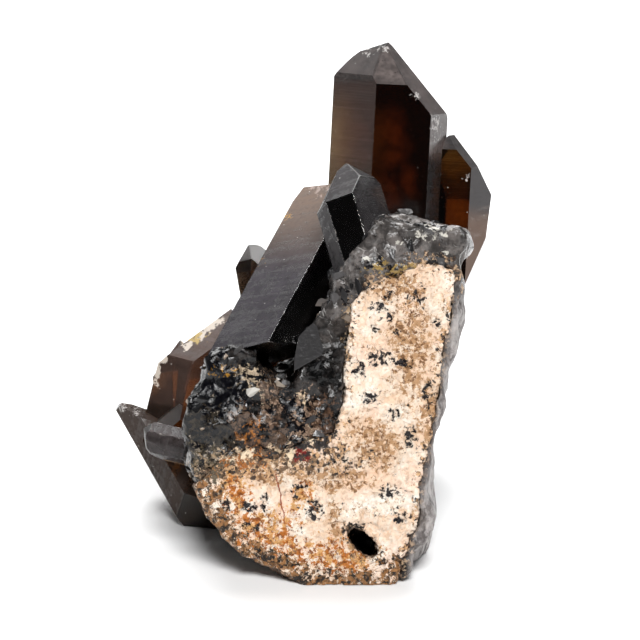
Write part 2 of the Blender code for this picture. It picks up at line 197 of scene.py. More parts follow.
# %% Arithmetic on sockets
class Wire:
    """One output of a shader node, with arithmetic that adds the Math or Vector Math node for it."""

    def __init__(self, socket):
        self.socket = socket
        self.tree = socket.id_data

    def node(self, kind, settings=None, output=0, **values):
        """Adds a node, sets it up, plugs wires or constants into the inputs named, and gives one output."""
        fresh = self.tree.nodes.new(kind)
        for key, value in (settings or {}).items():
            setattr(fresh, key, value)
        for key, value in values.items():
            name = key.replace("_", " ").strip()
            numbered = name[0] == "i" and name[1:].isdigit()
            slot = fresh.inputs[int(name[1:]) if numbered else name]
            if isinstance(value, Wire):
                self.tree.links.new(value.socket, slot)
            elif value is not None:
                slot.default_value = value
        return Wire(fresh.outputs[output])

    def math(self, operation, first, second=0.0, clamp=False):
        return self.node("ShaderNodeMath", {"operation": operation, "use_clamp": clamp}, i0=first, i1=second)

    def vector(self, operation, first, second=None, output=0):
        return self.node("ShaderNodeVectorMath", {"operation": operation}, output, i0=first, i1=second)

    def __add__(self, other):
        return self.math("ADD", self, other)

    def __radd__(self, other):
        return self.math("ADD", other, self)

    def __sub__(self, other):
        return self.math("SUBTRACT", self, other)

    def __rsub__(self, other):
        return self.math("SUBTRACT", other, self)

    def __mul__(self, other):
        return self.math("MULTIPLY", self, other)

    def __rmul__(self, other):
        return self.math("MULTIPLY", other, self)

    def __gt__(self, other):
        return self.math("GREATER_THAN", self, other)

    def clamp(self):
        return self.math("ADD", self, 0.0, clamp=True)

    def at_least(self, other):
        return self.math("MAXIMUM", self, other)

    def rise(self, low, high, start=0.0, end=1.0):
        """0 below low, 1 above high and a smooth step between them."""
        return self.node("ShaderNodeMapRange", {"interpolation_type": "SMOOTHSTEP"}, Value=self,
                         From_Min=low, From_Max=high, To_Min=start, To_Max=end)

    def fall(self, low, high):
        """1 below low and 0 above high."""
        return self.rise(low, high, 1.0, 0.0)

    def scaled(self, factors):
        return self.vector("MULTIPLY", self, factors)

    def shifted(self, offset):
        return self.vector("ADD", self, offset)

    def part(self, index):
        return self.node("ShaderNodeSeparateXYZ", None, index, Vector=self)

    def noise(self, size, detail=3.0, roughness=0.55):
        """Soft noise whose lumps are about size millimetres wide; self is a place in millimetres."""
        return self.node("ShaderNodeTexNoise", None, 0, Vector=self, Scale=1.0 / size, Detail=detail,
                         Roughness=roughness)

    def noise_colour(self, size, detail=2.0):
        """Three noises in one vector, each about zero, to warp a place with."""
        return Wire(self.noise(size, detail).socket.node.outputs["Color"]).shifted((-0.5, -0.5, -0.5))

    def cells(self, size, feature="F1", output="Distance"):
        """Cells about size millimetres wide: the distance to each middle, or one colour for each cell."""
        return self.node("ShaderNodeTexVoronoi", {"feature": feature}, output, Vector=self, Scale=1.0 / size)

    def blend(self, first, second):
        """Colour first where this mask is 0 and second where it is 1."""
        fresh = self.tree.nodes.new("ShaderNodeMix")
        fresh.data_type = "RGBA"
        self.tree.links.new(self.socket, fresh.inputs[0])
        for value, slot in ((first, fresh.inputs[6]), (second, fresh.inputs[7])):
            if isinstance(value, Wire):
                self.tree.links.new(value.socket, slot)
            else:
                slot.default_value = (*value, 1.0)
        return Wire(fresh.outputs[2])

    def spot(self, column, row, radius, soft=0.5, stretch=(1.0, 1.0), depth=0.0):
        """A round or oval mask about a point of the photo; self is a place on the plate."""
        middle = seen_at(column, row, depth)
        flat = self.vector("SUBTRACT", self, tuple(middle))
        flat = flat.scaled((1 / stretch[0], 0.0, 1 / stretch[1]))
        reach = flat.vector("LENGTH", flat, output=1)
        return reach.fall(radius * (1 - soft), radius * (1 + soft))


# %% [markdown]
# All pieces share one ruler. A look reads Object coordinates, which are metres in the scene, and a Mapping
# node turns them into millimetres on the leaning plate, so a mark keeps its place across two pieces.

# %% Starting a look
def begin_look(name):
    """An empty material, its Principled shader, and its place in millimetres on the plate."""
    material = bpy.data.materials.new(name)
    material.use_nodes = True
    shader = material.node_tree.nodes["Principled BSDF"]
    in_metres = Wire(material.node_tree.nodes.new("ShaderNodeTexCoord").outputs["Object"])
    place = in_metres.node("ShaderNodeMapping", None, 0, Vector=in_metres, Rotation=(LEAN_BACK, 0.0, 0.0),
                           Location=tuple(PLATE_BACK.to_translation() / MM), Scale=(1 / MM, 1 / MM, 1 / MM))
    return material, shader, place


def plug(value, slot):
    """Puts a wire, a colour or a number into a shader's input."""
    if isinstance(value, Wire):
        value.tree.links.new(value.socket, slot)
    elif isinstance(value, tuple):
        slot.default_value = (*value, 1.0)
    else:
        slot.default_value = value


def attribute(place, name, output="Fac"):
    """A value that the mesh keeps for each vertex or face."""
    node = place.tree.nodes.new("ShaderNodeAttribute")
    node.attribute_name = name
    return Wire(node.outputs[output])


def bump(place, height, distance, normal=None):
    """Turns a height of 0 to 1 into relief this many millimetres deep."""
    return place.node("ShaderNodeBump", None, 0, Height=height, Distance=distance * MM, Strength=1.0,
                      Normal=normal)


# %% [markdown]
# The CAD solids are faceted and plain, and they stay as they are. Each piece of the visible model starts
# as a merged copy of its node, so its place is right, its mesh is its own, and it stands in for the solid.

# %% Copying a CAD node
def cad_copy(node, name):
    """A copy of a CAD node that stands in for it."""
    copy = bpy.data.objects.new(name, nodes[node].data.copy())
    bpy.context.scene.collection.objects.link(copy)
    copy.data.materials.clear()
    pick(copy)
    bpy.ops.object.mode_set(mode="EDIT")
    bpy.ops.mesh.select_all(action="SELECT")
    bpy.ops.mesh.remove_doubles(threshold=1e-6)
    bpy.ops.mesh.normals_make_consistent(inside=False)
    bpy.ops.object.mode_set(mode="OBJECT")
    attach(copy, "root")
    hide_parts(node)
    return copy


def apply_all(piece):
    """Turns the modifiers of a piece into plain mesh."""
    pick(piece)
    for modifier in list(piece.modifiers):
        bpy.ops.object.modifier_apply(modifier=modifier.name)


# %% [markdown]
# Rough stone could be sculpted, but a texture that pushes the surface in and out covers a whole lump at
# once and is the same on each run. It needs many small even faces first, which a voxel remesh gives.
# What sticks out of the CAD model's box afterwards is pressed back to it, so the size stays true.

# %% Relief
def add_relief(piece, name, kind, size, strength, middle, **settings):
    """Displaces the surface along its normals by one of Blender's procedural textures."""
    texture = bpy.data.textures.new(name, kind)
    texture.noise_scale = size * MM
    for key, value in settings.items():
        setattr(texture, key, value)
    modifier = piece.modifiers.new(name, "DISPLACE")
    modifier.texture = texture
    modifier.texture_coords = "LOCAL"
    modifier.strength = strength * MM
    modifier.mid_level = middle


def remesh(piece, size):
    """Adds a remesh into even faces of this many millimetres."""
    modifier = piece.modifiers.new("remesh", "REMESH")
    modifier.mode = "VOXEL"
    modifier.voxel_size = size * MM
    modifier.adaptivity = 0.0


def keep_in_box(piece, margin=0.02):
    """Holds every vertex inside the box of the CAD model, and so above the table too."""
    low = cad_box[0] + Vector((margin, margin, 0)) * MM
    high = cad_box[1] - Vector((margin, margin, margin)) * MM
    moved = 0
    for vertex in piece.data.vertices:
        kept = Vector(tuple(min(max(v, a), b) for v, a, b in zip(vertex.co, low, high)))
        if (kept - vertex.co).length > 0:
            moved += 1
            vertex.co = kept
    return moved


def store(piece, name, values, domain="POINT", kind="FLOAT"):
    """Keeps a number or a vector for each vertex or face, for a material to read."""
    layer = piece.data.attributes.new(name, kind, domain)
    key = "value" if kind == "FLOAT" else "vector"
    flat = values if kind == "FLOAT" else [number for vector in values for number in vector]
    layer.data.foreach_set(key, flat)


# %% [markdown]
# The massive quartz broke like glass: shell-shaped scoops with sharp ridges between them. They could be
# sculpted one by one, but the distance to the nearest of many seeds has just this shape. So a fine voxel
# mesh is pushed in by two sizes of it, and less on the right side, which broke nearly flat.

# %% Broken quartz base
ROCK_VOXEL = 0.5
RIGHT_SIDE_FROM = 14.0
RIGHT_SIDE_SLOPE = 0.17
base = cad_copy("quartz_base", "quartz_base_dressed")
remesh(base, ROCK_VOXEL)
apply_all(base)


def roughness_share(x, z):
    """The right side of the lump is a nearly flat broken face, and the rest is rough."""
    side = (x - RIGHT_SIDE_FROM - RIGHT_SIDE_SLOPE * z) / 3.0
    return 1.0 - 0.75 * min(1.0, max(0.0, side))


broken = base.vertex_groups.new(name="broken")
for vertex in base.data.vertices:
    spot = PLATE_BACK @ vertex.co / MM
    broken.add([vertex.index], roughness_share(spot.x, spot.z), "REPLACE")
add_relief(base, "large_scoops", "VORONOI", 4.2, 1.3, 0.34, distance_metric="DISTANCE_SQUARED")
add_relief(base, "small_scoops", "VORONOI", 1.7, 0.45, 0.34, distance_metric="DISTANCE_SQUARED")
add_relief(base, "grain", "CLOUDS", 0.9, 0.2, 0.5)
for modifier in base.modifiers:
    modifier.vertex_group = "broken"
apply_all(base)
pick(base)
bpy.ops.object.shade_smooth_by_angle(angle=math.radians(35))
print("quartz base:", len(base.data.polygons), "faces,", keep_in_box(base), "vertices held in the box")

# %% [markdown]
# Feldspar cleaves in two directions at right angles, so its broken face steps in small blocks.
# Noise with square cells gives the blocks, over a soft swell and under fine crumbs.

# %% Feldspar face
FELDSPAR_VOXEL = 0.30
feldspar = cad_copy("feldspar_matrix", "feldspar_dressed")
remesh(feldspar, FELDSPAR_VOXEL)
add_relief(feldspar, "swell", "CLOUDS", 3.0, 0.7, 0.20)
add_relief(feldspar, "cleaved_blocks", "CLOUDS", 1.1, 0.45, 0.35, noise_basis="CELL_NOISE", noise_depth=1)
add_relief(feldspar, "crumbs", "CLOUDS", 0.55, 0.5, 0.5)
apply_all(feldspar)
print("feldspar:", len(feldspar.data.polygons), "faces,", keep_in_box(feldspar), "vertices held in the box")

# %% [markdown]
# Where the two rocks meet, grains of one lie on the other. A mask for that could be painted by hand.
# Here every vertex simply keeps its distance to the other rock or to the rim, and the looks read it.

# %% Where the two rocks meet
def search_tree(mesh, faces=None):
    """A tree that finds the nearest point of a mesh, or only of some of its faces."""
    return BVHTree.FromPolygons([vertex.co.copy() for vertex in mesh.vertices],
                                [tuple(face.vertices) for face in faces or mesh.polygons])


def distances(piece, tree):
    """Millimetres from each vertex of a piece to the nearest point in a search tree."""
    return [tree.find_nearest(vertex.co)[3] / MM for vertex in piece.data.vertices]


facing = PLATE_TURN.col[1]
feldspar_cad = nodes["feldspar_matrix"].data
walls = [face for face in feldspar_cad.polygons if abs(face.normal.dot(facing)) < 0.5]
to_feldspar = distances(base, search_tree(feldspar.data))
to_edge = distances(feldspar, search_tree(feldspar_cad, walls))
store(base, "to_feldspar", to_feldspar)
store(feldspar, "to_edge", to_edge)
print(sum(value < 1 for value in to_feldspar), "quartz vertices within 1 mm of the feldspar,",
      sum(value < 1 for value in to_edge), "feldspar vertices within 1 mm of its rim")

# %% [markdown]
# Stains, specks and rust have ragged outlines and crowd round certain points. An image would place them
# exactly, but it would be a copy of the photo. A noise cut at a threshold, and helped over it near a few
# chosen points, grows marks of the right kind in the right places.

# %% Ragged marks
def facet_normal(place, size, tilt, normal=None):
    """Turns the surface a different way in each cell, as flat fracture faces do."""
    surface = normal or Wire(place.tree.nodes.new("ShaderNodeNewGeometry").outputs["Normal"])
    turn = place.cells(size, output="Color").shifted((-0.5, -0.5, -0.5)).scaled((tilt, tilt, tilt))
    return surface.vector("NORMALIZE", surface.vector("ADD", surface, turn))


def warp(place, size, reach, detail=2.0):
    """The place moved about by noise, so that what is drawn with it gets ragged outlines."""
    return place.vector("ADD", place, place.noise_colour(size, detail).scaled((reach, reach, reach)))


def ragged_place(place):
    """The place moved about just enough to break up an outline within a millimetre."""
    return warp(place, 1.1, 0.8, 5.0)


def zone_of(place, spots, depth=FACE_DEPTH):
    """A soft mask round some points of the photo, each with a radius in millimetres and a stretch."""
    zone = None
    for column, row, radius, stretch in spots:
        mask = place.spot(column, row, radius, 0.7, stretch, depth)
        zone = mask if zone is None else zone.at_least(mask)
    return zone


MARK_DETAIL = 5.0


def ragged_cover(place, ragged, spots, size, threshold, depth=FACE_DEPTH):
    """Ragged marks that crowd round some points of the photo and stay on the side that it shows."""
    zone = zone_of(place, spots, depth)
    front = place.part(1).fall(max(depth + 4.0, 14.0), max(depth + 9.0, 20.0))
    return (ragged.noise(size, MARK_DETAIL, 0.70) + 0.28 * zone).rise(threshold, threshold + 0.04) * front


def stain(place, ragged, under, colour, spots, size, threshold):
    """Lays ragged marks of one colour over the colour under them."""
    return ragged_cover(place, ragged, spots, size, threshold).blend(under, colour)


# %% [markdown]
# The feldspar is cream to pink and dull. Brown dust and painted shade sit between its grains, tan and rusty
# clouds lie over it, black specks are sprinkled through it, and its lower edge is crumbled and caked with
# rust.
# Each of these is one layer, from the widest to the smallest.

# %% Feldspar's marks
# A point of the photo in pixels, a radius in millimetres, and how far it is stretched across and up.
TAN_CLOUDS = [(415, 350, 7.0, (0.7, 1.6)), (375, 445, 6.0, (1.0, 0.9)), (335, 527, 3.0, (0.7, 1.6)),
              (400, 290, 4.5, (1.3, 0.8)), (262, 474, 4.5, (2.4, 0.5)), (330, 478, 4.5, (2.2, 0.6)),
              (430, 420, 4.5, (0.6, 1.4)), (350, 490, 3.0, (1.6, 0.6))]
RUST = [(232, 492, 5.0, (0.7, 1.3)), (262, 540, 7.0, (1.2, 1.0)), (305, 500, 3.0, (0.8, 1.4)),
        (318, 560, 8.0, (1.7, 0.6)), (255, 458, 5.0, (1.6, 0.5)), (287, 520, 2.5, (0.7, 1.4))]
FLECKS = [(392, 296, 1.6, (1, 1)), (377, 307, 1.5, (1.5, 0.8)), (418, 296, 2.4, (0.9, 1.2)),
          (386, 316, 2.0, (1.4, 0.7)), (376, 328, 1.3, (1, 1)), (398, 334, 1.0, (1, 1)),
          (380, 358, 2.4, (1.5, 0.8)), (438, 322, 1.6, (1, 0.8)), (360, 370, 2.0, (1, 1)),
          (406, 364, 1.6, (1.4, 0.7)), (430, 395, 2.2, (0.7, 1.5)), (346, 466, 2.0, (1.4, 0.8)),
          (225, 508, 1.6, (1, 1)), (248, 508, 1.8, (1.3, 0.7)), (264, 506, 1.7, (0.8, 1.3)),
          (293, 498, 1.3, (1.4, 0.8)), (302, 488, 1.5, (1.5, 0.6)), (313, 512, 2.6, (1, 1)),
          (250, 529, 1.4, (1.4, 0.8)), (402, 520, 2.0, (1.2, 0.9)), (390, 494, 2.4, (1.2, 0.7)),
          (372, 400, 2.2, (1.3, 0.8)), (412, 440, 2.0, (0.8, 1.3)), (395, 415, 1.5, (1, 1))]
FELDSPAR_SEAM = [(225, 464, 5.0, (1.5, 0.8)), (285, 460, 6.5, (2.2, 0.5)), (325, 446, 4.0, (1.0, 0.8))]
# A colour, the size of its grains, a threshold that rises as they get rarer, and the points.
FELDSPAR_STAINS = [
    ((0.50, 0.29, 0.145), 1.1, 0.745, TAN_CLOUDS),
    ((0.22, 0.105, 0.042), 0.8, 0.80, TAN_CLOUDS),
    ((0.70, 0.38, 0.14), 1.6, 0.76, RUST),
    ((0.52, 0.17, 0.025), 1.2, 0.79, RUST),
    ((0.24, 0.07, 0.012), 0.9, 0.815, RUST),
]
SEAM_STAINS_AND_SHADE = [
    ((0.028, 0.023, 0.021), 1.4, 0.69, [(298, 446, 3.6, (1.1, 0.9)), (318, 436, 3.0, (0.8, 1.2)),
                                        (332, 424, 2.5, (0.6, 1.4)), (268, 452, 3.0, (1.2, 0.7))]),
    ((0.13, 0.100, 0.065), 1.2, 0.70, [(205, 462, 4.2, (1.1, 1.0)), (224, 450, 3.2, (1.0, 1.0))]),
    ((0.42, 0.15, 0.035), 1.1, 0.76, [(250, 450, 4.0, (1.0, 1.0)), (240, 463, 3.4, (1.5, 0.6))]),
    ((0.17, 0.100, 0.055), 0.8, 0.79, [(262, 462, 5.0, (1.8, 0.6)), (300, 470, 4.0, (1.6, 0.5))]),
    ((0.20, 0.010, 0.007), 0.8, 0.74, [(301, 457, 1.5, (1.4, 0.8))]),
    # Painted shade: near-black inside the deep cavity low on the plate, where shade falls.
    ((0.010, 0.007, 0.006), 0.8, 0.72, [(355, 533, 2.0, (1.2, 0.8)), (369, 549, 2.0, (0.9, 1.2))]),
    ((0.85, 0.68, 0.48), 1.0, 0.775, [(288, 454, 2.2, (0.6, 1.4)), (310, 438, 2.2, (1.0, 0.8)),
                                      (240, 456, 3.0, (1.4, 0.6))]),
]
print(len(FELDSPAR_STAINS) + len(SEAM_STAINS_AND_SHADE), "stains and", len(FLECKS), "groups of specks on the feldspar")

# %% [markdown]
# The cream itself is many small grains, some pinker and some paler, with brown dust and painted shade in
# the gaps. One colour for each cell of a pattern gives the grains, and the low parts of a finer noise, which
# also sets the relief, give the darkened gaps.

# %% Cream grains
DEEP_CREAM, LIGHT_CREAM = (0.88, 0.62, 0.43), (1.0, 0.95, 0.86)
PINK_CREAM = (1.0, 0.74, 0.58)
TAN = (0.72, 0.47, 0.28)
GAP_SHADE_AND_DUST = (0.45, 0.27, 0.14)


def cream_grains(place, wandering, grain, fine):
    """Cream grains in paler and pinker patches, with tan clouds over them and brown dust and painted shade
    between them.
    """
    bright = place.noise(5.5, 3.0).rise(0.40, 0.60)
    colour = (grain.part(0) * 0.5 + bright * 0.5).blend(DEEP_CREAM, LIGHT_CREAM)
    pink = place.noise(7.0).rise(0.47, 0.6) * 0.6
    colour = pink.blend(colour, PINK_CREAM)
    colour = (zone_of(wandering, TAN_CLOUDS) * 0.45).blend(colour, TAN)
    # Painted shade mixed with dust: the low parts of the relief noise, the gaps between grains, are
    # darkened.
    darker_gaps = place.noise(5.0, 3.0).rise(0.42, 0.62)
    crevice_shade_and_dust = fine.fall(0.36, 0.47) * (0.25 + 0.75 * darker_gaps)
    return crevice_shade_and_dust.blend(colour, GAP_SHADE_AND_DUST)


# %% [markdown]
# The plate has no clean outline: its upper left border fades into the quartz through brown grains, and
# its lower edge crumbled away. Both need to know how far the rim is, which the vertices keep.

# %% Borders of the feldspar
BORDER_BROWN, BORDER_CREAM = (0.060, 0.034, 0.020), (0.70, 0.43, 0.23)
BORDER_BLACK = (0.03, 0.024, 0.022)
CRUMB_BLACK, CRUMB_RUST = (0.020, 0.014, 0.010), (0.36, 0.17, 0.06)
CRUMB_PALE = (0.66, 0.50, 0.36)


def grain_mixture(grain_part, ragged, size):
    """A mask that differs from grain to grain and within each, to mix two kinds of grain."""
    return (0.3 * grain_part + 0.7 * ragged.noise(size, 5.0, 0.75)).rise(0.40, 0.62)


def upper_border(place, wandering, ragged, grain, colour):
    """The upper left border fades into the quartz through brown, cream and black grains."""
    seam = zone_of(wandering, FELDSPAR_SEAM)
    edge = attribute(place, "to_edge").fall(0.1, 2.4)
    cover = (ragged.noise(1.5, 5.0, 0.70) + 0.24 * seam.at_least(edge * 0.7)).rise(0.68, 0.715)
    warm = grain_mixture(grain.part(1), ragged, 0.8).blend(BORDER_BROWN, BORDER_CREAM)
    colour = cover.blend(colour, (grain.part(2) > 0.82).blend(warm, BORDER_BLACK))
    # These stains also paint the shade inside the cavity lower down.
    for tint, size, threshold, spots in SEAM_STAINS_AND_SHADE:
        colour = stain(place, ragged, colour, tint, spots, size, threshold)
    return colour


def crumbled_edge(place, ragged, grain, colour):
    """The lower edge crumbled away and is caked with rust and dark grains."""
    lower_left = place.part(2).fall(12.0, 26.0) * (place.part(0) + 0.8 * place.part(2)).fall(-2.0, 9.0)
    low = lower_left.at_least(place.part(2).fall(3.5, 8.0)) * (1.0 - place.spot(362, 540, 5.0))
    crumbly = attribute(place, "to_edge").fall(0.8, 6.0) * low
    cover = (ragged.noise(1.6, 5.0, 0.70) + 0.28 * crumbly).rise(0.68, 0.71)
    crumbs = grain_mixture(grain.part(2), ragged, 1.0).blend(CRUMB_BLACK, CRUMB_RUST)
    pale = warp(place, 0.9, 1.0).noise(0.9, 5.0, 0.75).rise(0.56, 0.60)
    return cover.blend(colour, pale.blend(crumbs, CRUMB_PALE))


# %% [markdown]
# One thin red-brown crack runs down the lower half. A crack could be cut into the mesh, but it is much
# finer than the mesh is, so it is drawn: the places closer than a tenth of a millimetre to a wavy line.

# %% Crack in the feldspar
CRACK_TOP = (275, 475)
CRACK_LEAN = 0.19
CRACK_RED = (0.30, 0.055, 0.012)


def red_crack(place, colour):
    """A wavy line that drifts to the right on its way down and fades at both ends."""
    top = seen_at(*CRACK_TOP)
    wander = place.part(0) - (top.z - place.part(2)) * CRACK_LEAN + (place.noise(1.6) - 0.5) * 1.1
    crack = wander.math("ABSOLUTE", wander - top.x).fall(0.04, 0.16)
    crack = crack * place.part(2).rise(10.0, 11.0) * place.part(2).fall(18.8, 19.6)
    return crack.blend(colour, CRACK_RED)


# %% Feldspar's look
SCATTERED_BLACK = (0.03, 0.022, 0.018)
FLECK_BLACK = (0.016, 0.013, 0.014)
CAVITY_BROWN = (0.13, 0.08, 0.05)


def feldspar_look():
    material, shader, place = begin_look("cream_feldspar")
    ragged = ragged_place(place)
    wandering = warp(place, 5.0, 7.0, 3.0)
    grain = ragged.cells(0.6, output="Color")
    fine = ragged.noise(0.6, 5.0, 0.7)
    colour = cream_grains(place, wandering, grain, fine)
    for tint, size, threshold, spots in FELDSPAR_STAINS:
        colour = stain(wandering, ragged, colour, tint, spots, size, threshold)
    scattered = (ragged.noise(1.1, 5.0, 0.72) + 0.12 * place.noise(5.0).rise(0.42, 0.6)).rise(0.745, 0.76)
    colour = scattered.blend(colour, SCATTERED_BLACK)
    flecks = ragged_cover(place, ragged, FLECKS, 1.0, 0.765)
    colour = flecks.blend(colour, FLECK_BLACK)
    colour = upper_border(place, wandering, ragged, grain, colour)
    colour = crumbled_edge(place, ragged, grain, colour)
    colour = red_crack(place, colour)
    inside = place.part(1).rise(1.6, 3.0)
    plug(inside.blend(colour, CAVITY_BROWN), shader.inputs["Base Color"])
    plug(0.55 - flecks * 0.3, shader.inputs["Roughness"])
    shader.inputs["Specular IOR Level"].default_value = 0.4
    height = 0.6 * fine + 0.4 * grain.part(0) - 0.5 * flecks
    plug(bump(place, height, 0.28, facet_normal(ragged, 0.7, 0.8)), shader.inputs["Normal"])
    return material


feldspar.data.materials.append(feldspar_look())
print("feldspar:", len(feldspar.data.materials[0].node_tree.nodes), "nodes in its look")

# %% [markdown]
# The massive quartz is nearly black low down and glassy grey at its rim, with pale cracks inside it.
# It is drawn as a glossy surface and not as real glass, because a lump this thick and this full of cracks
# lets no light through. Rusty grains lie where it meets the feldspar, and its right side is dull grey.

# %% Quartz's marks
QUARTZ_STAINS_AND_HIGHLIGHTS = [
    ((0.12, 0.095, 0.060), 1.2, 0.76, [(200, 455, 4.6, (0.9, 1.2)), (214, 440, 3.0, (1.0, 1.0))]),
    ((0.30, 0.25, 0.20), 0.7, 0.82, [(200, 450, 5.5, (0.9, 1.4)), (225, 400, 6.0, (1.2, 0.8))]),
    ((0.115, 0.064, 0.040), 1.2, 0.74, [(262, 432, 6.0, (1.0, 1.2)), (285, 452, 5.0, (1.2, 0.8)),
                                        (322, 425, 4.0, (0.9, 1.6))]),
    ((0.004, 0.004, 0.006), 2.2, 0.66, [(293, 422, 4.0, (0.7, 1.5)), (213, 405, 8.0, (1.1, 1.2))]),
    ((0.036, 0.028, 0.020), 0.9, 0.76, [(205, 428, 6.0, (1.2, 0.9)), (222, 440, 4.0, (1.0, 1.0))]),
    ((0.55, 0.43, 0.30), 1.0, 0.77, [(246, 378, 3.2, (1.1, 0.9)), (262, 392, 2.4, (0.7, 1.3))]),
    ((0.50, 0.25, 0.04), 0.8, 0.80, [(221, 372, 2.2, (1.5, 0.7))]),
    ((0.40, 0.15, 0.035), 1.1, 0.77, [(252, 440, 4.5, (0.7, 1.2)), (238, 462, 4.0, (1.4, 0.6)),
                                     (262, 462, 4.0, (1.6, 0.5))]),
    ((0.82, 0.62, 0.42), 1.1, 0.79, [(255, 458, 6.0, (1.8, 0.5)), (288, 455, 2.6, (0.6, 1.4)),
                                     (308, 436, 2.2, (1.1, 0.8)), (300, 402, 2.2, (0.6, 1.4))]),
    ((0.40, 0.28, 0.17), 0.9, 0.77, [(285, 466, 9.0, (2.6, 0.3)), (350, 330, 4.0, (0.4, 2.2))]),
    ((0.20, 0.010, 0.007), 0.8, 0.74, [(301, 457, 1.5, (1.4, 0.8))]),
    ((0.135, 0.085, 0.058), 1.2, 0.75, [(268, 402, 4.0, (0.8, 1.5)), (243, 420, 3.4, (1.0, 1.2)),
                                       (275, 440, 3.4, (1.3, 0.8))]),
    ((0.40, 0.27, 0.19), 0.9, 0.80, [(266, 404, 5.0, (0.9, 1.4)), (305, 420, 5.0, (0.8, 1.5))]),
    ((0.010, 0.009, 0.010), 1.2, 0.73, [(352, 222, 3.0, (1.2, 0.8)), (392, 272, 2.0, (0.8, 1.2)),
                                        (440, 262, 2.0, (1.4, 0.5)), (372, 262, 2.4, (1.2, 0.5)),
                                        (345, 290, 1.8, (0.6, 1.6))]),
    ((0.006, 0.005, 0.005), 0.9, 0.66, [(264, 434, 1.3, (0.8, 1.2)), (254, 408, 1.4, (0.8, 1.2))]),
    ((0.36, 0.24, 0.08), 0.8, 0.79, [(385, 268, 2.4, (0.7, 1.4)), (405, 270, 4.0, (2.2, 0.5))]),
    # Partly white quartz and partly painted highlights: pale patches on the upward facets of the rim.
    ((0.66, 0.63, 0.56), 1.5, 0.76, [(435, 230, 2.8, (1.3, 0.7)), (402, 242, 0.8, (1.2, 0.7)),
                                     (367, 258, 0.9, (1.5, 0.5)), (447, 252, 0.8, (1.4, 0.6)),
                                     (378, 213, 1.0, (1.3, 0.8))]),
]
print(len(QUARTZ_STAINS_AND_HIGHLIGHTS), "stains on the quartz")

# %% [markdown]
# Light that enters the rim comes back from cracks and cloudy streaks inside it, and the deeper parts stay
# black. Cracks inside real glass would be slow to model and to render, so they are drawn on the surface,
# where a cell pattern's borders give the cracks and a stretched noise gives the fibres.

# %% Depths of the quartz
MORION_BLACK, MORION_BROWN = (0.003, 0.003, 0.003), (0.055, 0.046, 0.042)
RIM_GREY = (0.185, 0.165, 0.155)
FIBRE_GREY = (0.30, 0.28, 0.27)
HOLLOW_SHADE = (0.030, 0.026, 0.025)
SPLIT_WHITE = (0.42, 0.40, 0.38)


def glassy_depths(place, warped, rim):
    """Black and brown depths, a greyer rim with pale fibres, painted shade in the hollows of the rim, and
    light on the cracks.
    """
    streak = warped.noise(3.0, 5.0, 0.6)
    colour = streak.rise(0.42, 0.72).blend(MORION_BLACK, MORION_BROWN)
    colour = (rim * (0.25 + 0.75 * streak.rise(0.36, 0.60))).blend(colour, RIM_GREY)
    fibres = warped.scaled((1.4, 1.0, 0.35)).noise(1.4, 4.0, 0.7).rise(0.58, 0.72)
    clouded = place.noise(5.0).rise(0.40, 0.62)
    colour = (fibres * clouded * (0.3 + 0.7 * rim)).blend(colour, FIBRE_GREY)
    split = warped.cells(2.4, feature="DISTANCE_TO_EDGE").fall(0.0, 0.05) * place.noise(2.2).rise(0.55, 0.65)
    # Painted shade: patches of the rim are darkened as the shade in its hollows.
    hollow_shade = warp(place, 2.6, 1.6).noise(1.8, 4.0, 0.65).rise(0.52, 0.64)
    colour = (rim * hollow_shade * 0.75).blend(colour, HOLLOW_SHADE)
    return (split * 0.9).blend(colour, SPLIT_WHITE)


# %% [markdown]
# Grains of feldspar and rust stick to the quartz along the seam, except where the break is clean beside
# the cream plate. The right side of the lump broke flat and has pale streaks from top to bottom.

# %% Seam and right side of the quartz
SEAM_BROWN, SEAM_CREAM = (0.10, 0.055, 0.034), (0.72, 0.50, 0.32)
SIDE_DARK, SIDE_PALE = (0.11, 0.095, 0.092), (0.50, 0.465, 0.45)


def seam_grains(place, ragged):
    """Where grains of feldspar and rust lie in the seam beside the cream plate."""
    seam = attribute(place, "to_feldspar").fall(0.2, 4.5)
    clean_break = place.part(0).fall(5.0, 8.0) * place.part(2).rise(23.0, 28.0)
    seam = seam * (1.0 - 0.85 * clean_break)
    return (ragged.noise(1.1, 5.0, 0.68) + 0.24 * seam).rise(0.70, 0.74)


def flat_side(place):
    """Where the flat right side of the lump is."""
    side = (place.part(0) - RIGHT_SIDE_SLOPE * place.part(2)).rise(13.5, 15.5)
    return side * place.part(1).fall(14.0, 22.0) * place.part(2).fall(47.0, 51.0)


